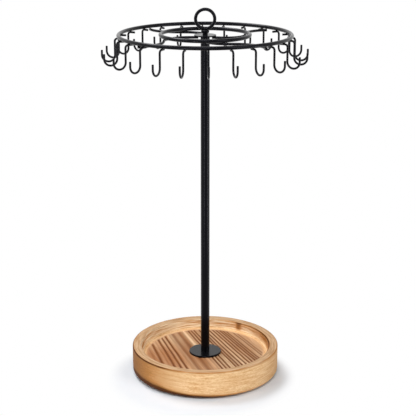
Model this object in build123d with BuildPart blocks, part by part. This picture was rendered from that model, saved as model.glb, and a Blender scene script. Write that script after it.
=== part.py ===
from build123d import *
import math
import os

# Necklace stand: a wooden tray on a turntable carries a steel pole, and the pole carries
# two wire rings on curved arms, with hooks all round and a lifting loop on top.
# Millimetres. +Z runs up the pole, the origin is on the table under it, and the front is -Y.

# Allowances shared by all the pieces
overrun = 1.0
running_clearance = 0.05
weld_gap = 0.02
finest_path_share = 1e-6

# Turntable
pad_diameter = 10.0
pad_height = 2.0
pad_rounding = 0.5
pad_count = 6
pad_edge_margin = 3.0
lower_plate_diameter = 110.0
plate_step = 3.0
plate_thickness = 1.5
ball_diameter = 3.0
ball_count = 24
ball_edge_margin = 10.0
plate_gap_share = 0.66
cage_width = 6.0
cage_clearance = 0.1
cage_thickness_share = 0.5
rivet_diameter = 8.0
rivet_head_diameter = 14.0
rivet_head_height = 1.2
rivet_lift = 0.1
rivet_flare_share = 0.5

# Screws that hold the upper plate in the tray
plate_screw_diameter = 3.0
plate_screw_length = 8.0
plate_screw_count = 4
plate_screw_inset = 11.0
plate_screw_start_angle = 45.0
plate_screw_head_share = 0.85
pilot_margin = 0.8
access_hole_diameter = 7.5

# Tray
tray_diameter = 160.0
tray_lift = 2.5
tray_height = 28.5
tray_wall = 10.0
recess_depth = 10.5
recess_cove = 5.0
rim_outer_rounding = 1.0
rim_inner_rounding = 2.5
tray_foot_rounding = 3.0
cove_limit_share = 0.6
rounding_limit_share = 0.35
pocket_clearance = 3.0

# Grooves that brushing has worn into the tray floor along the grain
grain_angle = 20.0
grain_fan_reach = 555.0
groove_width = 2.2
groove_depth = 0.8
hollow_width = 6.0
hollow_depth = 0.55
groove_end_gap = 1.5
groove_flange_lap = 2.5
left_groove_shares = (-0.81, -0.65, -0.56, -0.48)
right_groove_shares = (0.03, 0.09, 0.15, 0.25, 0.3, 0.36, 0.43, 0.5, 0.56, 0.62, 0.67, 0.72, 0.81, 0.86)
hollow_shares = (-0.31, -0.17)

# Pole and its fixings
flange_diameter = 35.0
flange_thickness = 2.0
flange_rounding_share = 0.3
pole_diameter = 9.5
pole_wall = 1.0
pole_length = 348.0
insert_length = 16.0
stud_diameter = 4.0
thread_clearance = 0.05
thread_engagement = 11.0
hole_clearance = 0.2
screw_head_diameter = 8.0
screw_head_height = 2.8
screw_head_gap = 0.8
washer_diameter = 16.0
washer_thickness = 1.2
well_margin = 4.0
drive_slot_length_share = 0.6
drive_slot_width_share = 0.14
drive_slot_depth_share = 0.45

# Carousel
ring_wire = 4.0
outer_ring_diameter = 177.6
inner_ring_diameter = 91.6
hub_disc_diameter = 22.7
hub_disc_thickness = 1.3
hub_rounding_share = 0.25
arm_wire = 2.8
arm_count = 4
first_arm_angle = -95.4
arm_droop = 1.0
arm_hub_gap = 2.3
arm_run_length = 9.0
arm_first_bend_radius = 23.5
arm_first_turn = 95.0
arm_middle_length = 6.5
arm_second_turn = 75.0

# Hooks
hook_count = 24
first_hook_angle = -88.1
hook_wire = 2.2
hook_stub_length = 4.3
hook_stem_gap = 0.6
hook_bend_radius = 3.0
hook_drop = 26.7
hook_curl_radius = 6.7
hook_tip_length = 5.3
hook_tip_rounding_share = 0.3

# Lifting loop
loop_outer_diameter = 23.0
loop_wire = 3.4
loop_sink = 0.6
neck_diameter = 5.5
neck_length = 1.9
collar_diameter = 8.3
collar_height = 3.2
collar_rounding_share = 0.1

# Heights of the turntable and the tray
plate_gap = ball_diameter * plate_gap_share
lower_top = pad_height + plate_thickness
upper_bottom = lower_top + plate_gap
upper_top = upper_bottom + plate_thickness
ball_level = lower_top + plate_gap / 2
rivet_head_bottom = upper_top + rivet_lift
rivet_top = rivet_head_bottom + rivet_head_height
tray_top = tray_lift + tray_height
floor_top = tray_top - recess_depth
screw_head_bottom = rivet_top + screw_head_gap
washer_bottom = screw_head_bottom + screw_head_height
well_top = washer_bottom + washer_thickness

# Heights of the pole and the carousel
flange_top = floor_top + flange_thickness
pole_top = flange_top + pole_length
arm_hub_level = pole_top - weld_gap - arm_wire / 2
disc_top = pole_top + hub_disc_thickness
collar_bottom = disc_top + neck_length
collar_top = collar_bottom + collar_height
loop_level = collar_top + loop_outer_diameter / 2 - loop_sink

# Radii that several pieces share
upper_plate_radius = lower_plate_diameter / 2 - plate_step
pad_circle_radius = lower_plate_diameter / 2 - pad_edge_margin - pad_diameter / 2
ball_circle_radius = upper_plate_radius - ball_edge_margin
groove_radius = ball_diameter / 2 + running_clearance
rivet_hole_radius = rivet_diameter / 2 + running_clearance
rivet_flare = plate_thickness * rivet_flare_share
plate_screw_circle_radius = ball_circle_radius - cage_width / 2 - plate_screw_inset
plate_screw_head_height = plate_thickness * plate_screw_head_share
plate_screw_hole_radius = plate_screw_diameter / 2 + running_clearance
plate_screw_top = upper_bottom + plate_screw_length
tray_radius = tray_diameter / 2
recess_radius = tray_radius - tray_wall
pocket_radius = lower_plate_diameter / 2 + pocket_clearance
well_radius = max(washer_diameter, rivet_head_diameter) / 2 + well_margin
screw_hole_radius = stud_diameter / 2 + hole_clearance
thread_bore_radius = stud_diameter / 2 + thread_clearance
tube_bore_radius = pole_diameter / 2 - pole_wall
outer_ring_radius = outer_ring_diameter / 2
inner_ring_radius = inner_ring_diameter / 2
hub_disc_radius = hub_disc_diameter / 2

os.makedirs("parts", exist_ok=True)


# Rubber pads glued under the lower plate
with BuildPart() as rubber_feet:
    with BuildSketch(Plane.XY):
        with PolarLocations(pad_circle_radius, pad_count):
            Circle(pad_diameter / 2)
    extrude(amount=pad_height)
    fillet(rubber_feet.edges().group_by(Axis.Z)[0], pad_rounding)
rubber_feet.part.label = "rubber_feet"
export_step(rubber_feet.part, "parts/rubber_feet.step")


# Lower plate of the turntable: ball groove on top, access holes for the screws above it
with BuildPart() as lower_race_plate:
    with BuildSketch(Plane.XY.offset(pad_height)):
        Circle(lower_plate_diameter / 2)
        Circle(rivet_hole_radius, mode=Mode.SUBTRACT)
        with PolarLocations(plate_screw_circle_radius, plate_screw_count, plate_screw_start_angle):
            Circle(access_hole_diameter / 2, mode=Mode.SUBTRACT)
    extrude(amount=plate_thickness)
    rivet_hole_edge = lower_race_plate.edges().group_by(Axis.Z)[0].sort_by_distance((0, 0, pad_height))[0]
    chamfer(rivet_hole_edge, rivet_flare)
    with Locations((0, 0, ball_level)):
        Torus(ball_circle_radius, groove_radius, mode=Mode.SUBTRACT)
lower_race_plate.part.label = "lower_race_plate"
export_step(lower_race_plate.part, "parts/lower_race_plate.step")


# Rivet on the turning axis: flared flush in the lower plate, its head just clear of the upper one
with BuildPart() as pivot_rivet:
    with BuildSketch(Plane.XZ):
        with BuildLine():
            Polyline(
                (0, pad_height),
                (rivet_diameter / 2 + rivet_flare, pad_height),
                (rivet_diameter / 2, pad_height + rivet_flare),
                (rivet_diameter / 2, rivet_head_bottom),
                (rivet_head_diameter / 2, rivet_head_bottom),
                (rivet_head_diameter / 2, rivet_top),
                (0, rivet_top),
                close=True,
            )
        make_face()
    revolve(axis=Axis.Z)
pivot_rivet.part.label = "pivot_rivet"
export_step(pivot_rivet.part, "parts/pivot_rivet.step")


# Bearing balls in a ring between the two grooves
with BuildPart() as bearing_balls:
    with Locations((0, 0, ball_level)):
        with PolarLocations(ball_circle_radius, ball_count):
            Sphere(ball_diameter / 2)
bearing_balls.part.label = "bearing_balls"
export_step(bearing_balls.part, "parts/bearing_balls.step")


# Flat ring that keeps the balls apart
cage_thickness = plate_gap * cage_thickness_share
with BuildPart() as ball_cage:
    with BuildSketch(Plane.XY.offset(ball_level - cage_thickness / 2)):
        Circle(ball_circle_radius + cage_width / 2)
        Circle(ball_circle_radius - cage_width / 2, mode=Mode.SUBTRACT)
        with PolarLocations(ball_circle_radius, ball_count):
            Circle(ball_diameter / 2 + cage_clearance, mode=Mode.SUBTRACT)
    extrude(amount=cage_thickness)
ball_cage.part.label = "ball_cage"
export_step(ball_cage.part, "parts/ball_cage.step")


# Upper plate of the turntable: ball groove below, countersunk for the wood screws
with BuildPart() as upper_race_plate:
    with BuildSketch(Plane.XY.offset(upper_bottom)):
        Circle(upper_plate_radius)
        Circle(rivet_hole_radius, mode=Mode.SUBTRACT)
    extrude(amount=plate_thickness)
    with Locations((0, 0, ball_level)):
        Torus(ball_circle_radius, groove_radius, mode=Mode.SUBTRACT)
    with Locations(Plane((0, 0, upper_bottom), z_dir=(0, 0, -1))):
        with PolarLocations(plate_screw_circle_radius, plate_screw_count, plate_screw_start_angle):
            CounterSinkHole(
                plate_screw_hole_radius,
                plate_screw_hole_radius + plate_screw_head_height,
                counter_sink_angle=90,
            )
upper_race_plate.part.label = "upper_race_plate"
export_step(upper_race_plate.part, "parts/upper_race_plate.step")


# One countersunk wood screw, standing on the turning axis, with a cross slot in its head
with BuildPart() as plate_screw:
    with BuildSketch(Plane.XZ):
        with BuildLine():
            Polyline(
                (0, upper_bottom),
                (plate_screw_diameter / 2 + plate_screw_head_height, upper_bottom),
                (plate_screw_diameter / 2, upper_bottom + plate_screw_head_height),
                (plate_screw_diameter / 2, plate_screw_top - plate_screw_diameter / 2),
                (0, plate_screw_top),
                close=True,
            )
        make_face()
    revolve(axis=Axis.Z)
    with BuildSketch(Plane.XY.offset(upper_bottom)):
        for slot_angle in (0, 90):
            Rectangle(
                plate_screw_diameter,
                plate_screw_diameter * drive_slot_width_share,
                rotation=slot_angle,
            )
    extrude(amount=plate_screw_head_height * drive_slot_depth_share, mode=Mode.SUBTRACT)

# The wood screws as one group
with BuildPart() as plate_screws:
    with PolarLocations(plate_screw_circle_radius, plate_screw_count, plate_screw_start_angle):
        add(plate_screw.part)
plate_screws.part.label = "plate_screws"
export_step(plate_screws.part, "parts/plate_screws.step")


# Turned wooden tray: a shallow recess above, and below it the turntable's pocket and a screw well
recess_cove_radius = min(recess_cove, recess_depth * cove_limit_share)
rim_outer_radius = min(rim_outer_rounding, tray_wall * rounding_limit_share)
rim_inner_limit = min(tray_wall, recess_depth) * rounding_limit_share
rim_inner_radius = min(rim_inner_rounding, rim_inner_limit)
floor_radius = recess_radius - recess_cove_radius
grain_turn = math.radians(grain_angle)
groove_forms = [(share, groove_width, groove_depth) for share in left_groove_shares + right_groove_shares]
groove_forms += [(share, hollow_width, hollow_depth) for share in hollow_shares]
deepest_groove = max(groove_depth, hollow_depth)
with BuildPart() as floor_grooves:
    for share, width, depth in groove_forms:
        place = floor_radius * share
        cut_radius = (width**2 / 4 + depth**2) / (2 * depth)
        heading = grain_turn + math.atan2(place, grain_fan_reach)
        cut_level = floor_top - depth + cut_radius
        groove_plane = Plane(
            origin=(place * math.cos(grain_turn), place * math.sin(grain_turn), cut_level),
            x_dir=(0, 0, 1),
            z_dir=(-math.sin(heading), math.cos(heading), 0),
        )
        with BuildSketch(groove_plane):
            Circle(cut_radius)
        extrude(amount=tray_diameter, both=True)
    with BuildSketch(Plane.XY.offset(floor_top - deepest_groove - overrun)):
        Circle(floor_radius - groove_end_gap)
        Circle(flange_diameter / 2 - groove_flange_lap, mode=Mode.SUBTRACT)
    extrude(amount=deepest_groove + overrun + overrun, mode=Mode.INTERSECT)
with BuildPart() as wood_tray:
    with BuildSketch(Plane.XZ):
        with BuildLine():
            FilletPolyline(
                (0, tray_lift),
                (tray_radius, tray_lift),
                (tray_radius, tray_top),
                (recess_radius, tray_top),
                (recess_radius, floor_top),
                (0, floor_top),
                radius=(tray_foot_rounding, rim_outer_radius, rim_inner_radius, recess_cove_radius),
            )
            Line((0, floor_top), (0, tray_lift))
        make_face()
    revolve(axis=Axis.Z)
    with BuildSketch(Plane.XY.offset(tray_lift - overrun)):
        Circle(pocket_radius)
    extrude(amount=upper_top - tray_lift + overrun, mode=Mode.SUBTRACT)
    with BuildSketch(Plane.XY.offset(upper_top - overrun)):
        Circle(well_radius)
    extrude(amount=well_top - upper_top + overrun, mode=Mode.SUBTRACT)
    with BuildSketch(Plane.XY.offset(well_top - overrun)):
        Circle(screw_hole_radius)
    extrude(amount=floor_top - well_top + overrun + overrun, mode=Mode.SUBTRACT)
    with BuildSketch(Plane.XY.offset(upper_top - overrun)):
        with PolarLocations(plate_screw_circle_radius, plate_screw_count, plate_screw_start_angle):
            Circle(plate_screw_hole_radius)
    extrude(amount=plate_screw_top + pilot_margin - upper_top + overrun, mode=Mode.SUBTRACT)
    add(floor_grooves.part, mode=Mode.SUBTRACT)
wood_tray.part.label = "wood_tray"
export_step(wood_tray.part, "parts/wood_tray.step")


# Washer against the wood in the screw well
with BuildPart() as screw_washer:
    with BuildSketch(Plane.XY.offset(washer_bottom)):
        Circle(washer_diameter / 2)
        Circle(screw_hole_radius, mode=Mode.SUBTRACT)
    extrude(amount=washer_thickness)
screw_washer.part.label = "screw_washer"
export_step(screw_washer.part, "parts/screw_washer.step")


# Screw up through the tray and the flange into the pole
with BuildPart() as pole_screw:
    with BuildSketch(Plane.XY.offset(screw_head_bottom)):
        Circle(screw_head_diameter / 2)
    extrude(amount=screw_head_height)
    with BuildSketch(Plane.XY.offset(washer_bottom)):
        Circle(stud_diameter / 2)
    extrude(amount=flange_top + thread_engagement - washer_bottom)
    with BuildSketch(Plane.XY.offset(screw_head_bottom)):
        for slot_angle in (0, 90):
            Rectangle(
                screw_head_diameter * drive_slot_length_share,
                screw_head_diameter * drive_slot_width_share,
                rotation=slot_angle,
            )
    extrude(amount=screw_head_height * drive_slot_depth_share, mode=Mode.SUBTRACT)
pole_screw.part.label = "pole_screw"
export_step(pole_screw.part, "parts/pole_screw.step")


# Disc between the pole and the tray floor
with BuildPart() as foot_flange:
    with BuildSketch(Plane.XY.offset(floor_top)):
        Circle(flange_diameter / 2)
        Circle(screw_hole_radius, mode=Mode.SUBTRACT)
    extrude(amount=flange_thickness)
    flange_rim = foot_flange.edges().group_by(Axis.Z)[-1].sort_by(SortBy.RADIUS)[-1]
    fillet(flange_rim, flange_thickness * flange_rounding_share)
foot_flange.part.label = "foot_flange"
export_step(foot_flange.part, "parts/foot_flange.step")


# Pole: one length of round tube
with BuildPart() as pole_tube:
    with BuildSketch(Plane.XY.offset(flange_top)):
        Circle(pole_diameter / 2)
        Circle(tube_bore_radius, mode=Mode.SUBTRACT)
    extrude(amount=pole_length)
pole_tube.part.label = "pole_tube"
export_step(pole_tube.part, "parts/pole_tube.step")


# Threaded plugs in the two ends of the pole
for insert_name, insert_bottom in (
    ("pole_bottom_insert", flange_top),
    ("pole_top_insert", pole_top - insert_length),
):
    with BuildPart() as pole_insert:
        with BuildSketch(Plane.XY.offset(insert_bottom)):
            Circle(tube_bore_radius - running_clearance)
            Circle(thread_bore_radius, mode=Mode.SUBTRACT)
        extrude(amount=insert_length)
    pole_insert.part.label = insert_name
    export_step(pole_insert.part, f"parts/{insert_name}.step")


# Disc on the end of the pole, which carries the arms on its underside
with BuildPart() as hub_disc:
    with BuildSketch(Plane.XY.offset(pole_top)):
        Circle(hub_disc_radius)
        Circle(screw_hole_radius, mode=Mode.SUBTRACT)
    extrude(amount=hub_disc_thickness)
    disc_rim = hub_disc.edges().group_by(Axis.Z)[-1].sort_by(SortBy.RADIUS)[-1]
    fillet(disc_rim, hub_disc_thickness * hub_rounding_share)
hub_disc.part.label = "hub_disc"
export_step(hub_disc.part, "parts/hub_disc.step")


# Curved arms: a straight run under the disc, a bend to the left, a short middle run and a bend to the
# right that ends under the outer ring. The arm's plane droops outwards along the straight run.
# The second bend's chord is as long as it takes to reach the ring, and it gives that bend's radius.
first_turn = math.radians(arm_first_turn)
second_turn = math.radians(arm_second_turn)
droop = math.radians(arm_droop)
arm_start_radius = pole_diameter / 2 + arm_hub_gap
bend_x = arm_start_radius + arm_run_length + arm_first_bend_radius * math.sin(first_turn)
bend_y = arm_first_bend_radius * (1 - math.cos(first_turn))
middle_x = bend_x + arm_middle_length * math.cos(first_turn)
middle_y = bend_y + arm_middle_length * math.sin(first_turn)
chord_angle = first_turn - second_turn / 2
along_chord = middle_x * math.cos(chord_angle) + middle_y * math.sin(chord_angle)
chord_length = math.sqrt(along_chord**2 - middle_x**2 - middle_y**2 + outer_ring_radius**2) - along_chord
arm_second_bend_radius = chord_length / (2 * math.sin(second_turn / 2))
arm_paths = []
for number in range(arm_count):
    angle = math.radians(first_arm_angle + number * 360 / arm_count)
    arm_plane = Plane(
        (0, 0, arm_hub_level),
        x_dir=(math.cos(angle) * math.cos(droop), math.sin(angle) * math.cos(droop), -math.sin(droop)),
        z_dir=(math.cos(angle) * math.sin(droop), math.sin(angle) * math.sin(droop), math.cos(droop)),
    )
    with BuildPart() as arm:
        with BuildLine(arm_plane) as arm_path:
            run = Line((arm_start_radius, 0), (arm_start_radius + arm_run_length, 0))
            first_bend = JernArc(run @ 1, run % 1, arm_first_bend_radius, arm_first_turn)
            middle = Line(first_bend @ 1, first_bend @ 1 + first_bend % 1 * arm_middle_length)
            JernArc(middle @ 1, middle % 1, arm_second_bend_radius, -arm_second_turn)
        with BuildSketch(Plane(run @ 0, z_dir=run % 0)):
            Circle(arm_wire / 2)
        sweep()
    arm.part.label = f"arm_{number + 1}"
    export_step(arm.part, f"parts/{arm.part.label}.step")
    arm_paths.append(arm_path.line)


def ring_height(path, radius):
    """Height of a ring's wire centres where it lies on an arm: halves the path until the radius is met."""
    inside_share = 0
    outside_share = 1
    while outside_share - inside_share > finest_path_share:
        halfway_share = (inside_share + outside_share) / 2
        point = path @ halfway_share
        if math.hypot(point.X, point.Y) < radius:
            inside_share = halfway_share
        else:
            outside_share = halfway_share
    return (path @ inside_share).Z + arm_wire / 2 + weld_gap + ring_wire / 2


# Inner and outer rings, welded on top of the arms
outer_ring_level = ring_height(arm_paths[0], outer_ring_radius)
inner_ring_level = ring_height(arm_paths[0], inner_ring_radius)
for ring_name, ring_radius, ring_level in (
    ("inner_ring", inner_ring_radius, inner_ring_level),
    ("outer_ring", outer_ring_radius, outer_ring_level),
):
    with BuildPart() as ring:
        with Locations((0, 0, ring_level)):
            Torus(ring_radius, ring_wire / 2)
    ring.part.label = ring_name
    export_step(ring.part, f"parts/{ring_name}.step")


# Hooks: a short stub under the outer ring, a bend, a stem outside the ring and a round curl
stem_radius = outer_ring_radius + ring_wire / 2 + hook_wire / 2 + hook_stem_gap
stub_level = -ring_wire / 2 - hook_wire / 2 - weld_gap
curl_level = hook_curl_radius - hook_drop
for number in range(hook_count):
    angle = math.radians(first_hook_angle + number * 360 / hook_count)
    hook_plane = Plane(
        (0, 0, outer_ring_level),
        x_dir=(math.cos(angle), math.sin(angle), 0),
        z_dir=(math.sin(angle), -math.cos(angle), 0),
    )
    with BuildPart() as hook:
        with BuildLine(hook_plane) as hook_path:
            stub_start = (outer_ring_radius - hook_stub_length, stub_level)
            stub = Line(stub_start, (stem_radius - hook_bend_radius, stub_level))
            bend = JernArc(stub @ 1, stub % 1, hook_bend_radius, -90)
            stem = Line(bend @ 1, (stem_radius, curl_level))
            curl = JernArc(stem @ 1, stem % 1, hook_curl_radius, 180)
            tip_end = (stem_radius + 2 * hook_curl_radius, curl_level + hook_tip_length)
            tip = Line(curl @ 1, tip_end)
        with BuildSketch(Plane(stub @ 0, z_dir=stub % 0)):
            Circle(hook_wire / 2)
        sweep()
        tip_face = hook.faces().sort_by_distance(tip @ 1)[0]
        fillet(tip_face.edges(), hook_wire * hook_tip_rounding_share)
    hook.part.label = f"hook_{number + 1:02d}"
    export_step(hook.part, f"parts/{hook.part.label}.step")


# Lifting loop: a ring of wire on a collar and neck, with a stud that screws into the pole
with BuildPart() as lifting_loop:
    with BuildSketch(Plane.XY.offset(collar_bottom)):
        Circle(collar_diameter / 2)
    extrude(amount=collar_height)
    fillet(lifting_loop.edges().filter_by(GeomType.CIRCLE), collar_diameter * collar_rounding_share)
    with BuildSketch(Plane.XY.offset(disc_top)):
        Circle(neck_diameter / 2)
    extrude(amount=neck_length)
    with BuildSketch(Plane.XY.offset(pole_top - thread_engagement)):
        Circle(stud_diameter / 2)
    extrude(amount=thread_engagement + hub_disc_thickness)
    with Locations((0, 0, loop_level)):
        Torus(loop_outer_diameter / 2 - loop_wire / 2, loop_wire / 2, rotation=(90, 0, 0))
lifting_loop.part.label = "lifting_loop"
export_step(lifting_loop.part, "parts/lifting_loop.step")
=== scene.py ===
import bpy
import numpy as np
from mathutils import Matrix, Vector


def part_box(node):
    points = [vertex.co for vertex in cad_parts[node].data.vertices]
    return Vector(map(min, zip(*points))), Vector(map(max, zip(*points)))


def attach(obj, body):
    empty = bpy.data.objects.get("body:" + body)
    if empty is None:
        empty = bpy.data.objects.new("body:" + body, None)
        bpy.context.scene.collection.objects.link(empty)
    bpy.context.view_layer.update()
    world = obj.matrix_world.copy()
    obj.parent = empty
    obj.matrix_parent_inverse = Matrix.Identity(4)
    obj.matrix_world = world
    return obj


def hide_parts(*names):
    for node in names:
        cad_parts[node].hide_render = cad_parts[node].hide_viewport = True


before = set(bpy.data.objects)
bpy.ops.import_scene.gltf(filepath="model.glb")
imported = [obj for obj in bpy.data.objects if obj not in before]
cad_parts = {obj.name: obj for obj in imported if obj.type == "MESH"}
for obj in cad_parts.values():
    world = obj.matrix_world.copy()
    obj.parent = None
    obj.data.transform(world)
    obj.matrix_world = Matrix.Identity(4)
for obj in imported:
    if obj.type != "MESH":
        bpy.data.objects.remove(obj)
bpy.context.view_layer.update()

# Rubber feet
# Six small moulded pads under the lower plate. They are black rubber, stuck on with their own glue,
# and keep the stand from sliding on a dresser top.
millimetre = 0.001


def linear(code):
    """Linear colour of an sRGB hex code: each pair of digits over 255, with the sRGB curve undone."""
    c = np.array([int(code[k:k + 2], 16) for k in (1, 3, 5)]) / 255
    c = np.where(c <= 0.04045, c / 12.92, ((c + 0.055) / 1.055) ** 2.4)
    return (*c.tolist(), 1.0)


def add(tree, kind, settings=(), sockets=()):
    """One shader node with its settings. Each socket, by name or number, takes a plain value or a link."""
    new = tree.nodes.new("ShaderNode" + kind)
    for name, value in dict(settings).items():
        setattr(new, name, value)
    for key, value in dict(sockets).items():
        if isinstance(value, bpy.types.NodeSocket):
            tree.links.new(value, new.inputs[key])
        else:
            new.inputs[key].default_value = value
    return new


def start(name):
    """A new material with an empty tree, and the tree."""
    material = bpy.data.materials.new(name)
    material.use_nodes = True
    material.node_tree.nodes.clear()
    return material, material.node_tree


def coat(material, *names):
    """Puts a material in every slot of the named CAD nodes."""
    for name in names:
        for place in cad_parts[name].material_slots:
            place.material = material


# Moulded nitrile rubber: dull, almost black, with a faint grain from the mould (cells of 0.3 mm).
rubber, tree = start("nitrile_rubber_moulded")
place = add(tree, "TexCoord").outputs["Object"]
cells = add(tree, "TexNoise", sockets={"Vector": place, "Scale": 1 / (0.3 * millimetre), "Detail": 3.0})
dull = add(tree, "MapRange", sockets={"Value": cells.outputs[0], "To Min": 0.62, "To Max": 0.82})
relief = add(tree, "Bump", sockets={
    "Height": cells.outputs[0], "Strength": 0.35, "Distance": 0.03 * millimetre})
shader = add(tree, "BsdfPrincipled", sockets={
    "Base Color": linear("#202021"), "Roughness": dull.outputs[0], "IOR": 1.52, "Normal": relief.outputs[0]})
add(tree, "OutputMaterial", sockets={"Surface": shader.outputs[0]})
coat(rubber, "rubber_feet")

# Turntable plates, rivet and screws
# Two pressed sheet-steel plates with a ball groove each, held together by a rivet. Wood screws hold the
# upper plate in the tray, and the pole's screw, washer and plugs are the same bright zinc-plated steel.

# Zinc-plated steel: a grey metal with a soft sheen, faint blue and straw clouds about 9 mm wide, and a fine
# spangle (0.6 mm).
zinc, tree = start("zinc_plated_steel_passivated")
place = add(tree, "TexCoord").outputs["Object"]
clouds = add(tree, "TexNoise", sockets={"Vector": place, "Scale": 1 / (9 * millimetre), "Detail": 3.0})
tint = add(tree, "Mix", {"data_type": "RGBA"}, {
    0: clouds.outputs[0], 6: linear("#b3b9c2"), 7: linear("#c9c4b4")})
spangle = add(tree, "TexNoise", sockets={"Vector": place, "Scale": 1 / (0.6 * millimetre), "Detail": 4.0})
sheen = add(tree, "MapRange", sockets={"Value": spangle.outputs[0], "To Min": 0.26, "To Max": 0.44})
relief = add(tree, "Bump", sockets={
    "Height": spangle.outputs[0], "Strength": 0.2, "Distance": 0.02 * millimetre})
shader = add(tree, "BsdfPrincipled", sockets={
    "Base Color": tint.outputs[2], "Metallic": 1.0, "Roughness": sheen.outputs[0],
    "Normal": relief.outputs[0]})
add(tree, "OutputMaterial", sockets={"Surface": shader.outputs[0]})
coat(zinc, "lower_race_plate", "upper_race_plate", "pivot_rivet", "plate_screws", "screw_washer",
     "pole_screw", "pole_bottom_insert", "pole_top_insert")

# Bearing balls and their cage
# Twenty-four ground steel balls run between the plates, and a moulded plastic ring keeps them spaced.
# The ring and the balls turn at half the tray's speed.

# Ground chrome steel: a mirror finish with hairline scratches (about 0.2 mm apart) that dull it slightly.
ball_steel, tree = start("chrome_steel_ground")
place = add(tree, "TexCoord").outputs["Object"]
scratches = add(tree, "TexNoise", sockets={"Vector": place, "Scale": 1 / (0.2 * millimetre), "Detail": 2.0})
sheen = add(tree, "MapRange", sockets={"Value": scratches.outputs[0], "To Min": 0.08, "To Max": 0.18})
shader = add(tree, "BsdfPrincipled", sockets={
    "Base Color": linear("#cfd1d4"), "Metallic": 1.0, "Roughness": sheen.outputs[0]})
add(tree, "OutputMaterial", sockets={"Surface": shader.outputs[0]})
coat(ball_steel, "bearing_balls")

# Moulded acetal: a creamy plastic with a soft even shine and slight mottling (3 mm) where it flowed.
acetal, tree = start("acetal_plastic_moulded")
place = add(tree, "TexCoord").outputs["Object"]
flow = add(tree, "TexNoise", sockets={"Vector": place, "Scale": 1 / (3 * millimetre), "Detail": 2.0})
cream = add(tree, "Mix", {"data_type": "RGBA"}, {
    0: flow.outputs[0], 6: linear("#d9d3bf"), 7: linear("#e4dfcf")})
shader = add(tree, "BsdfPrincipled", sockets={
    "Base Color": cream.outputs[2], "Roughness": 0.42, "IOR": 1.48})
add(tree, "OutputMaterial", sockets={"Surface": shader.outputs[0]})
coat(acetal, "ball_cage")

# Wooden tray
# A disc of softwood turned on a lathe, with a shallow recess above and the turntable's pocket below. Its
# floor is brushed with wire, which wears out the soft early wood and leaves ribs, and the edges are torched.

# Sizes in millimetres: the outline from the frame, and the roundings and the pocket that the part has
tray_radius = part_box("wood_tray")[1][0] / millimetre
bottom, rim_level = (corner[2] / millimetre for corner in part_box("wood_tray"))
floor_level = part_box("foot_flange")[0][2] / millimetre
flange_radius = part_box("foot_flange")[1][0] / millimetre
pocket_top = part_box("upper_race_plate")[1][2] / millimetre
well_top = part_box("screw_washer")[1][2] / millimetre
wall_thickness, cove = 10.0, 5.0
rim_inner, rim_outer, foot_rounding = 2.5, 1.0, 3.0
pocket_radius, well_radius, hole_radius = 58.0, 12.0, 2.2
wall_radius = tray_radius - wall_thickness
floor_edge = wall_radius - cove
rim_start, rim_end = wall_radius + rim_inner, tray_radius - rim_outer
foot_edge, foot_top = tray_radius - foot_rounding, bottom + foot_rounding
floor_steps, cove_steps, wall_steps, rim_steps, side_steps, foot_steps = 96, 9, 2, 6, 24, 2
rim_inner_steps, rim_outer_steps, foot_rounding_steps, turn_steps = 7, 5, 6, 600

# The grain: its angle, how far off its lines would meet, and its wavers, each with a reach, a length along
# the grain and a width across it
grain_angle, fan_reach = np.radians(20.0), 555.0
wavers = ((0.14, 13.0, 17.0), (0.08, 5.1, 3.7))
# Each groove across the grain: its place as a share of the floor's radius, its depth and its half width. The
# depths vary a little along the grain, and the painted shade darkening each groove spreads wider than the
# groove.
depth_change, depth_change_length, depth_change_width, groove_shade_spread = 0.08, 8.3, 2.9, 1.6
grooves = np.array([
    (-0.90, 0.30, 1.1), (-0.81, 0.80, 1.1), (-0.72, 0.25, 0.8), (-0.65, 0.80, 1.0), (-0.56, 0.80, 0.9),
    (-0.48, 0.90, 0.9), (-0.39, 0.25, 0.8), (-0.31, 0.55, 2.2), (-0.17, 0.55, 2.2), (-0.10, 0.20, 0.7),
    (-0.02, 0.30, 0.8), (0.03, 0.80, 0.85), (0.09, 0.80, 0.85), (0.15, 0.80, 0.85), (0.20, 0.30, 0.6),
    (0.25, 0.80, 0.85), (0.30, 0.80, 0.85), (0.36, 0.80, 0.85), (0.43, 0.80, 0.85), (0.50, 0.80, 0.85),
    (0.56, 0.80, 0.85), (0.62, 0.80, 0.85), (0.67, 0.80, 0.85), (0.72, 0.80, 0.85), (0.765, 0.30, 0.6),
    (0.81, 0.80, 0.85), (0.86, 0.80, 0.85), (0.91, 0.30, 0.6)])
# Fibre between the grooves: its mean depth, then two waves by depth, turns per millimetre and start
fibre_depth, fibre_sway = 0.06, 6.0
coarse_fibre, fine_fibre = (0.06, 4.1), (0.04, 7.7, 2.0)
# The brushing stops short of the cove and starts under the flange
brushed_outside, brushed_inside = (0.5, 2.5), (-3.0, -2.0)
# Paleness of the floor's wood: left of the pole, right of it, in one streak, at the back on the left, and at
# the front, with the places across (shares of the floor's radius) and along the grain where each starts
# and is full. The ribs at the far right are softer.
left_pale, right_pale, right_pale_span = 0.13, 0.37, (-0.04, 0.04)
streak_pale, streak_place, streak_width, streak_span = 0.75, -0.07, 0.05, (-20.0, 10.0)
back_pale, back_pale_along, back_pale_across = 0.35, (15.0, 45.0), (0.1, 0.2)
front_pale, front_pale_along = 0.25, (10.0, 40.0)
right_soft, right_soft_span = 0.4, (0.65, 0.9)
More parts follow.
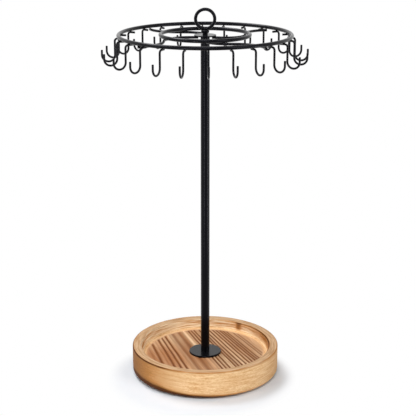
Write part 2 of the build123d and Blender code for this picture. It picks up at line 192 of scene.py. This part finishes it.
# Torching: how strong it is on each edge and face, how far it reaches, and the places to the right or the
# left of the pole where it starts and is full. Waves round the tray (number, share, start) make it ragged.
# The line on the rim's inner edge is torching and painted shade.
ragged_waves = ((5, 0.22, 1.1), (11, 0.16, 0.4), (23, 0.12, 2.0))
outer_edge_heat, outer_edge_ragged, outer_edge_depth, outer_edge_reach = 0.4, 0.6, 0.4, 0.9
outer_edge_loss, outer_edge_loss_span = 0.4, (0.0, 50.0)
inner_edge_burn_and_shade, inner_edge_depth, inner_edge_reach, inner_edge_span = 0.8, 0.7, 0.8, (-10.0, 50.0)
inner_front_share, inner_front_span = 0.5, (10.0, 50.0)
left_heat, left_heat_span, left_heat_power = 1.03, (10.0, 90.0), 1.2
right_heat, right_heat_span = 0.35, (52.0, 82.0)
foot_heat, foot_heat_span, foot_heat_level, foot_heat_reach = 1.6, (-75.0, 30.0), 0.6, 2.2
foot_more_reach, foot_ragged_reach, foot_more_span, foot_margin = 1.2, 1.4, (-30.0, 60.0), 0.5
wall_band, wall_band_rise, wall_top = 3.0, (0.5, 3.0), 0.5
wall_heat, wall_heat_span, corner_heat, corner_heat_span = 0.2, (0.0, 40.0), 0.45, (50.0, 68.0)
knot_heat, knot_turn, knot_width = 0.65, 0.99, 0.06
# Where the floor's wood turns into the cove's, and how far below the rim the rim top's greyer wood, partly a
# painted sheen, starts and is full
floor_blend, rim_wood_and_sheen_drop = 1.5, (1.2, 0.3)


def arc(centre, radius, first, last, count):
    """Points of a circle's arc round a centre, from one angle in degrees to another, both ends included."""
    a = np.radians(np.linspace(first, last, count))
    return np.stack([centre[0] + radius * np.cos(a), centre[1] + radius * np.sin(a)], axis=-1)


def run(first, last, count):
    """Points evenly along a straight line between two points, both ends left out."""
    t = np.linspace(0.0, 1.0, count + 2)[1:-1, None]
    return np.asarray(first) * (1 - t) + np.asarray(last) * t


def fade(distance, reach):
    """One where the distance is nought, and less and less away from it: exp(-(distance / reach)^2)."""
    return np.exp(-(distance / reach) ** 2)


def rise(value, first, last):
    """Nought up to the first value, one from the last value on, and even between them."""
    return np.clip((value - first) / (last - first), 0.0, 1.0)


def mesh(name, points, wrap_rows, wrap_columns, sharp=40.0):
    """Mesh of a grid of points in metres. Four neighbours make a face, and a wrapped side closes up."""
    rows, columns = points.shape[:2]
    index = np.arange(rows * columns).reshape(rows, columns)
    index = np.concatenate([index, index[:1]]) if wrap_rows else index
    index = np.concatenate([index, index[:, :1]], axis=1) if wrap_columns else index
    faces = np.stack([index[:-1, :-1], index[:-1, 1:], index[1:, 1:], index[1:, :-1]], axis=-1).reshape(-1, 4)
    data = bpy.data.meshes.new(name)
    data.vertices.add(rows * columns)
    data.vertices.foreach_set("co", points.reshape(-1).astype(np.float32))
    data.loops.add(faces.size)
    data.loops.foreach_set("vertex_index", faces.reshape(-1).astype(np.int32))
    data.polygons.add(len(faces))
    data.polygons.foreach_set("loop_start", np.arange(0, faces.size, 4, dtype=np.int32))
    data.update(calc_edges=True)
    data.validate()
    data.shade_smooth()
    data.set_sharp_from_angle(angle=np.radians(sharp))
    made = bpy.data.objects.new(name, data)
    bpy.context.scene.collection.objects.link(made)
    return made


def mark(made, name, values):
    """Keeps one number for each point of a mesh, for its material to read."""
    layer = made.data.attributes.new(name, "FLOAT", "POINT")
    layer.data.foreach_set("value", values.reshape(-1).astype(np.float32))


def turned_tray():
    """The tray's section carried once round the axis: from the floor's hole outwards over the cove, the rim
    and the side, back under the foot, and through the pocket and the screw well to the hole again. On the
    floor each groove lowers the surface by its depth times exp(-(d / half width)^2), where d is the distance
    across the grain."""
    section = np.concatenate([
        [(hole_radius, floor_level)],
        run((hole_radius, floor_level), (floor_edge, floor_level), floor_steps),
        arc((floor_edge, floor_level + cove), cove, -90.0, 0.0, cove_steps),
        run((wall_radius, floor_level + cove), (wall_radius, rim_level - rim_inner), wall_steps),
        arc((rim_start, rim_level - rim_inner), rim_inner, 180.0, 90.0, rim_inner_steps),
        run((rim_start, rim_level), (rim_end, rim_level), rim_steps),
        arc((rim_end, rim_level - rim_outer), rim_outer, 90.0, 0.0, rim_outer_steps),
        run((tray_radius, rim_level - rim_outer), (tray_radius, foot_top), side_steps),
        arc((foot_edge, foot_top), foot_rounding, 0.0, -90.0, foot_rounding_steps),
        run((foot_edge, bottom), (pocket_radius, bottom), foot_steps),
        [(pocket_radius, bottom), (pocket_radius, pocket_top), (well_radius, pocket_top)],
        [(well_radius, well_top), (hole_radius, well_top)]])
    turn = np.linspace(0.0, 2 * np.pi, turn_steps, endpoint=False)
    r, level = section[:, 0, None], section[:, 1, None]
    x, y = r * np.cos(turn), r * np.sin(turn)
    # The grain's lines draw together a little towards the back, and they waver
    along = y * np.cos(grain_angle) - x * np.sin(grain_angle)
    across = (x * np.cos(grain_angle) + y * np.sin(grain_angle)) / (1 - along / fan_reach)
    across = across + sum(reach * np.sin(along / length + across / width) for reach, length, width in wavers)
    groove_wear_and_shade = sum(depth * fade(across - share * floor_edge, half) for share, depth, half in grooves)
    change = np.sin(along / depth_change_length + across / depth_change_width)
    groove_wear_and_shade = groove_wear_and_shade * (1 - depth_change + depth_change * change)
    fibre = fibre_depth + coarse_fibre[0] * np.sin(across * coarse_fibre[1] + np.sin(along / fibre_sway))
    fibre += fine_fibre[0] * np.sin(across * fine_fibre[1] + fine_fibre[2])
    on_floor = level >= floor_level
    brushed = on_floor * rise(floor_edge - r, *brushed_outside) * rise(r - flange_radius, *brushed_inside)
    z = level - brushed * np.clip(groove_wear_and_shade + fibre, 0.0, None)
    # The wood is browner left of the pole, with one pale streak, and paler to the right, behind and in front
    spot = across / floor_edge
    pale = left_pale + right_pale * rise(spot, *right_pale_span)
    pale += streak_pale * fade(spot - streak_place, streak_width) * rise(along, *streak_span)
    pale += back_pale * rise(along, *back_pale_along) * rise(-spot, *back_pale_across)
    pale += front_pale * rise(-along, *front_pale_along)
    # Painted shade in the grooves: the wood is darkened along each groove, a little wider than the groove,
    # and less at the far right
    groove_shade = sum(depth * fade(across - share * floor_edge, half * groove_shade_spread)
               for share, depth, half in grooves)
    groove_shade = np.clip(groove_shade, 0.0, 1.0) * (1 - right_soft * rise(spot, *right_soft_span))
    # Torching: a line on the sharp edges, more on the tray's left side, its foot and the wall's right. The
    # line on the rim's inner edge also holds painted shade.
    ragged = 0.5 + sum(share * np.sin(number * turn + start) for number, share, start in ragged_waves)
    outer = np.hypot(r - tray_radius + outer_edge_depth, z - rim_level + outer_edge_depth)
    burn_and_shade = fade(outer, outer_edge_reach) * (outer_edge_heat + outer_edge_ragged * ragged)
    burn_and_shade *= 1 - outer_edge_loss * rise(x, *outer_edge_loss_span)
    # The rim's inner edge, on the right and at the front: a dark line, partly torching and partly painted
    # shade
    inner = np.hypot(r - wall_radius - inner_edge_depth, z - rim_level + inner_edge_depth)
    inner_share = np.maximum(rise(x, *inner_edge_span), inner_front_share * rise(-y, *inner_front_span))
    burn_and_shade += fade(inner, inner_edge_reach) * inner_edge_burn_and_shade * inner_share
    burn_and_shade += (r > rim_end) * left_heat * rise(-x, *left_heat_span) ** left_heat_power
    burn_and_shade += (r > rim_end) * right_heat * rise(x, *right_heat_span)
    foot_reach = foot_heat_reach + (foot_more_reach + foot_ragged_reach * ragged) * rise(-x, *foot_more_span)
    foot = (r > foot_edge - foot_margin) * fade(z - bottom - foot_heat_level, foot_reach)
    burn_and_shade += foot * foot_heat * rise(-x, *foot_heat_span)
    wall = (np.abs(r - wall_radius) < wall_band) * rise(z - floor_level, *wall_band_rise)
    wall_marks = wall_heat * rise(x, *wall_heat_span) + corner_heat * rise(x, *corner_heat_span)
    wall_marks = wall_marks + knot_heat * fade(turn - knot_turn, knot_width)
    burn_and_shade += wall * (z < rim_level - wall_top) * wall_marks
    path = np.concatenate([[0.0], np.cumsum(np.hypot(*np.diff(section, axis=0).T))])[:, None]
    made = mesh("wood_tray_brushed", np.stack([x, y, z], axis=-1) * millimetre, True, True)
    everywhere = np.ones_like(x)
    mark(made, "groove_wear_and_shade", brushed * groove_shade)
    mark(made, "pale", pale)
    mark(made, "floor", everywhere * on_floor * rise(floor_edge - r, -floor_blend, floor_blend))
    mark(made, "rim", everywhere * (r > wall_radius) * rise(z - rim_level, *(-drop for drop in rim_wood_and_sheen_drop)))
    mark(made, "wall", everywhere * wall)
    mark(made, "path", everywhere * path * millimetre)
    mark(made, "torched_and_shaded", burn_and_shade)
    return made


tray = turned_tray()

# Torched softwood under matt lacquer: honey early wood with redder late wood in bands of 9 mm, fibres along
# the floor (1 mm wide, 24 mm long), short and long tool lines round the turned faces (0.9 and 1.2 mm high),
# and amber to brown where the flame went. Painted shade darkens the floor's grooves and, with the torching,
# the rim's inner edge, and the rim top is greyer with a painted sheen.
fibre_size, band_size = (1.0, 24.0, 1.0), (9.0, 200.0, 40.0)
line_size, long_line_size = (2.8, 2.8, 0.9), (20.0, 20.0, 1.2)
wood, tree = start("torched_softwood_brushed_lacquered")
place = add(tree, "TexCoord").outputs["Object"]
groove_wear_and_shade = add(tree, "Attribute", {"attribute_name": "groove_wear_and_shade"}).outputs["Fac"]
pale = add(tree, "Attribute", {"attribute_name": "pale"}).outputs["Fac"]
floor = add(tree, "Attribute", {"attribute_name": "floor"}).outputs["Fac"]
rim = add(tree, "Attribute", {"attribute_name": "rim"}).outputs["Fac"]
wall = add(tree, "Attribute", {"attribute_name": "wall"}).outputs["Fac"]
path = add(tree, "Attribute", {"attribute_name": "path"}).outputs["Fac"]
torched_and_shaded = add(tree, "Attribute", {"attribute_name": "torched_and_shaded"}).outputs["Fac"]
texture, colour, number = {"vector_type": "TEXTURE"}, {"data_type": "RGBA"}, {"data_type": "FLOAT"}
fibre_place = add(tree, "Mapping", texture, {
    "Vector": place, "Rotation": (0.0, 0.0, grain_angle), "Scale": Vector(fibre_size) * millimetre})
fibre = add(tree, "TexNoise", sockets={
    "Vector": fibre_place.outputs[0], "Scale": 1.0, "Detail": 4.0, "Roughness": 0.62})
band_place = add(tree, "Mapping", texture, {
    "Vector": place, "Rotation": (0.0, 0.0, grain_angle), "Scale": Vector(band_size) * millimetre})
band = add(tree, "TexNoise", sockets={"Vector": band_place.outputs[0], "Scale": 1.0, "Detail": 2.0})
mottled = add(tree, "Math", {"operation": "MULTIPLY_ADD"}, {0: band.outputs[0], 1: 0.8, 2: pale})
band_share = add(tree, "MapRange", sockets={"Value": mottled.outputs[0], "From Min": 0.4, "From Max": 1.4})
apart = add(tree, "SeparateXYZ", sockets={0: place})
round_place = add(tree, "CombineXYZ", sockets={0: apart.outputs[0], 1: apart.outputs[1], 2: path})
line_place = add(tree, "Mapping", texture, {
    "Vector": round_place.outputs[0], "Scale": Vector(line_size) * millimetre})
lines = add(tree, "TexNoise", sockets={
    "Vector": line_place.outputs[0], "Scale": 1.0, "Detail": 5.0, "Roughness": 0.68})
long_place = add(tree, "Mapping", texture, {
    "Vector": round_place.outputs[0], "Scale": Vector(long_line_size) * millimetre})
long_lines = add(tree, "TexNoise", sockets={"Vector": long_place.outputs[0], "Scale": 1.0, "Detail": 3.0})
both_lines = add(tree, "Mix", number, {0: 0.45, 2: lines.outputs[0], 3: long_lines.outputs[0]})
line_share = add(tree, "MapRange", sockets={
    "Value": both_lines.outputs[0], "From Min": 0.36, "From Max": 0.6})
outside = add(tree, "Mix", colour, {0: line_share.outputs[0], 6: linear("#d89c60"), 7: linear("#fbd6a4")})
long_share = add(tree, "MapRange", sockets={
    "Value": long_lines.outputs[0], "From Min": 0.36, "From Max": 0.58})
# The rim top's wood is paler and greyer: partly the wood, partly a painted sheen of the lacquer seen along it
rim_wood_and_sheen_colour = add(tree, "Mix", colour, {0: long_share.outputs[0], 6: linear("#b48a62"), 7: linear("#d4b08a")})
wall_wood = add(tree, "Mix", colour, {0: long_share.outputs[0], 6: linear("#cd945a"), 7: linear("#fde6c2")})
hollow = add(tree, "Mix", colour, {0: wall, 6: outside.outputs[2], 7: wall_wood.outputs[2]})
turned = add(tree, "Mix", colour, {0: rim, 6: hollow.outputs[2], 7: rim_wood_and_sheen_colour.outputs[2]})
inside = add(tree, "Mix", colour, {0: band_share.outputs[0], 6: linear("#b0764d"), 7: linear("#fcdab0")})
# Painted shade: the floor's wood turns dark brown along the grooves
groove_shade_share = add(tree, "MapRange", sockets={"Value": groove_wear_and_shade, "From Max": 0.7, "To Max": 0.95})
ribbed = add(tree, "Mix", colour, {0: groove_shade_share.outputs[0], 6: inside.outputs[2], 7: linear("#6f3b18")})
fibre_share = add(tree, "MapRange", sockets={
    "Value": fibre.outputs[0], "From Min": 0.48, "From Max": 0.74, "To Max": 0.55})
streaked = add(tree, "Mix", colour, {0: fibre_share.outputs[0], 6: ribbed.outputs[2], 7: linear("#a0662f")})
ground = add(tree, "Mix", colour, {0: floor, 6: turned.outputs[2], 7: streaked.outputs[2]})
scorch_and_shade = add(tree, "Math", {"operation": "MULTIPLY_ADD"}, {0: lines.outputs[0], 1: 0.5, 2: torched_and_shaded})
amber_share = add(tree, "MapRange", sockets={
    "Value": scorch_and_shade.outputs[0], "From Min": 0.36, "From Max": 0.85, "To Max": 0.85})
amber = add(tree, "Mix", colour, {0: amber_share.outputs[0], 6: ground.outputs[2], 7: linear("#c17f3b")})
brown_share = add(tree, "MapRange", sockets={
    "Value": scorch_and_shade.outputs[0], "From Min": 0.75, "From Max": 1.35, "To Max": 0.95})
burnt_and_shaded = add(tree, "Mix", colour, {0: brown_share.outputs[0], 6: amber.outputs[2], 7: linear("#4a2207")})
grain = add(tree, "Mix", number, {0: floor, 2: lines.outputs[0], 3: fibre.outputs[0]})
sheen = add(tree, "MapRange", sockets={"Value": grain.outputs[0], "To Min": 0.52, "To Max": 0.72})
relief = add(tree, "Bump", sockets={
    "Height": grain.outputs[0], "Strength": 0.4, "Distance": 0.3 * millimetre})
shader = add(tree, "BsdfPrincipled", sockets={
    "Base Color": burnt_and_shaded.outputs[2], "Roughness": sheen.outputs[0], "IOR": 1.5, "Specular IOR Level": 0.1,
    "Normal": relief.outputs[0]})
add(tree, "OutputMaterial", sockets={"Surface": shader.outputs[0]})
tray.data.materials.append(wood)
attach(tray, "stand")
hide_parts("wood_tray")

# Pole and its foot
# A drawn steel tube stands on a small steel disc, and one screw from below holds both to the tray.
# They are powder coated black before they are put together.

# Black powder coat on steel: near black and semi-gloss, with a faint orange peel (cells of 1 mm). It is dark
# face on and shines where the eye looks along it.
powder, tree = start("steel_powder_coated_black")
place = add(tree, "TexCoord").outputs["Object"]
peel = add(tree, "TexNoise", sockets={"Vector": place, "Scale": 1 / (1 * millimetre), "Detail": 2.0})
sheen = add(tree, "MapRange", sockets={"Value": peel.outputs[0], "To Min": 0.16, "To Max": 0.28})
relief = add(tree, "Bump", sockets={
    "Height": peel.outputs[0], "Strength": 0.1, "Distance": 0.02 * millimetre})
shader = add(tree, "BsdfPrincipled", sockets={
    "Base Color": linear("#060608"), "Roughness": sheen.outputs[0], "IOR": 1.45,
    "Specular Tint": linear("#767680"), "Normal": relief.outputs[0]})
add(tree, "OutputMaterial", sockets={"Surface": shader.outputs[0]})
coat(powder, "foot_flange", "pole_tube")

# Carousel
# Four bent wires are welded under a small disc on the pole's top, two wire rings lie on them, and twenty-four
# thinner J hooks are welded under the outer ring. The lifting loop screws into the pole through the disc.
coat(powder, "hub_disc", "inner_ring", "outer_ring", "lifting_loop", *(f"arm_{k}" for k in range(1, 5)),
     *(f"hook_{k:02d}" for k in range(1, 25)))

# Paper floor
# A wide sheet of white background paper lies under the stand.
sheet_half_width = 4.0
shadow_centre, shadow_reach, white_reach = (-0.004, -0.02, 0.0), 0.082, 0.106


def paper_floor():
    """A flat square sheet: a grid of nine points at the table's level."""
    x, y = np.meshgrid((-sheet_half_width, 0.0, sheet_half_width), (sheet_half_width, 0.0, -sheet_half_width))
    return mesh("paper_floor", np.stack([x, y, np.zeros_like(x)], axis=-1), False, False)


def plainly_seen(tree):
    """One for a ray from the camera, off a shine or through something clear, and nought for any other."""
    rays = add(tree, "LightPath")
    seen = add(tree, "Math", {"operation": "MAXIMUM"}, {
        0: rays.outputs["Is Camera Ray"], 1: rays.outputs["Is Glossy Ray"]})
    seen = add(tree, "Math", {"operation": "MAXIMUM"}, {
        0: seen.outputs[0], 1: rays.outputs["Is Transmission Ray"]})
    return seen.outputs[0]


sheet = paper_floor()
# Uncoated white paper: matt and even. Close to the stand it shows the stand's shadow, and further off it is
# plain white to the eye and in reflections.
paper, tree = start("paper_uncoated_white")
place = add(tree, "TexCoord").outputs["Object"]
centred = add(tree, "Mapping", texture, {"Vector": place, "Location": shadow_centre})
spread = add(tree, "VectorMath", {"operation": "LENGTH"}, {0: centred.outputs[0]})
far = add(tree, "MapRange", {"interpolation_type": "SMOOTHSTEP"}, {
    "Value": spread.outputs["Value"], "From Min": shadow_reach, "From Max": white_reach})
share = add(tree, "Math", {"operation": "MULTIPLY"}, {0: plainly_seen(tree), 1: far.outputs[0]})
matt = add(tree, "BsdfDiffuse", sockets={"Color": linear("#e8ecf1")})
white = add(tree, "Emission", sockets={"Color": linear("#ffffff"), "Strength": 1.0})
shader = add(tree, "MixShader", sockets={0: share.outputs[0], 1: matt.outputs[0], 2: white.outputs[0]})
add(tree, "OutputMaterial", sockets={"Surface": shader.outputs[0]})
sheet.data.materials.append(paper)

# Studio light
# A soft box over the camera, one to each side and one high at the back on the left lay the stand's shadow to
# the right. The room gives little light, and is plain white to the eye and in reflections, as the paper is.


def soft_box(name, spot, aim, width, height, watts):
    """A rectangular lamp at a point, turned to face another."""
    lamp = bpy.data.lights.new(name, "AREA")
    lamp.shape, lamp.size, lamp.size_y, lamp.energy = "RECTANGLE", width, height, watts
    made = bpy.data.objects.new(name, lamp)
    made.location = spot
    made.rotation_euler = (Vector(aim) - Vector(spot)).to_track_quat("-Z", "Y").to_euler()
    bpy.context.scene.collection.objects.link(made)
    return made


soft_box("front_soft_box", spot=(-0.1, -1.2, 1.35), aim=(0, 0, 0.2), width=0.6, height=0.5, watts=13)
soft_box("left_soft_box", spot=(-1.1, -0.6, 1.0), aim=(0, 0, 0.15), width=0.7, height=1.0, watts=7)
soft_box("right_soft_box", spot=(0.95, -0.95, 0.9), aim=(0, 0, 0.15), width=0.6, height=0.9, watts=7)
soft_box("back_soft_box", spot=(-0.6, 0.5, 1.5), aim=(0, 0, 0.1), width=0.8, height=0.5, watts=13)
# Two narrow strips give the pole its lines of shine. Only reflections show them.
for name, spot in (("left_strip", (-0.19, -0.42, 0.16)), ("right_strip", (0.42, -0.18, 0.16))):
    strip = soft_box(name, spot, aim=(0, 0, 0.16), width=0.06, height=0.32, watts=0.6)
    strip.visible_camera = strip.visible_diffuse = False
room = bpy.data.worlds.new("white_room")
room.use_nodes = True
tree = room.node_tree
tree.nodes.clear()
level = add(tree, "MapRange", sockets={"Value": plainly_seen(tree), "To Min": 0.09, "To Max": 1.0})
walls = add(tree, "Background", sockets={"Color": linear("#ffffff"), "Strength": level.outputs[0]})
add(tree, "OutputWorld", sockets={"Surface": walls.outputs[0]})
bpy.context.scene.world = room

# Camera
# It looks down on the stand a little from the front, a metre and a fifth away.
camera_distance, camera_height, camera_dip = 1.201, 0.5445, 0.2893
camera = bpy.data.objects.new("camera", bpy.data.cameras.new("camera"))
camera.location = (0.0, -camera_distance, camera_height)
camera.rotation_euler = (np.pi / 2 - camera_dip, 0.0, 0.0)
camera.data.sensor_fit, camera.data.sensor_width, camera.data.lens = "HORIZONTAL", 36.0, 101.464
camera.data.shift_x, camera.data.shift_y = 0.00685, -0.00096
bpy.context.scene.collection.objects.link(camera)
bpy.context.scene.camera = camera
bpy.context.scene.view_settings.view_transform = "Standard"
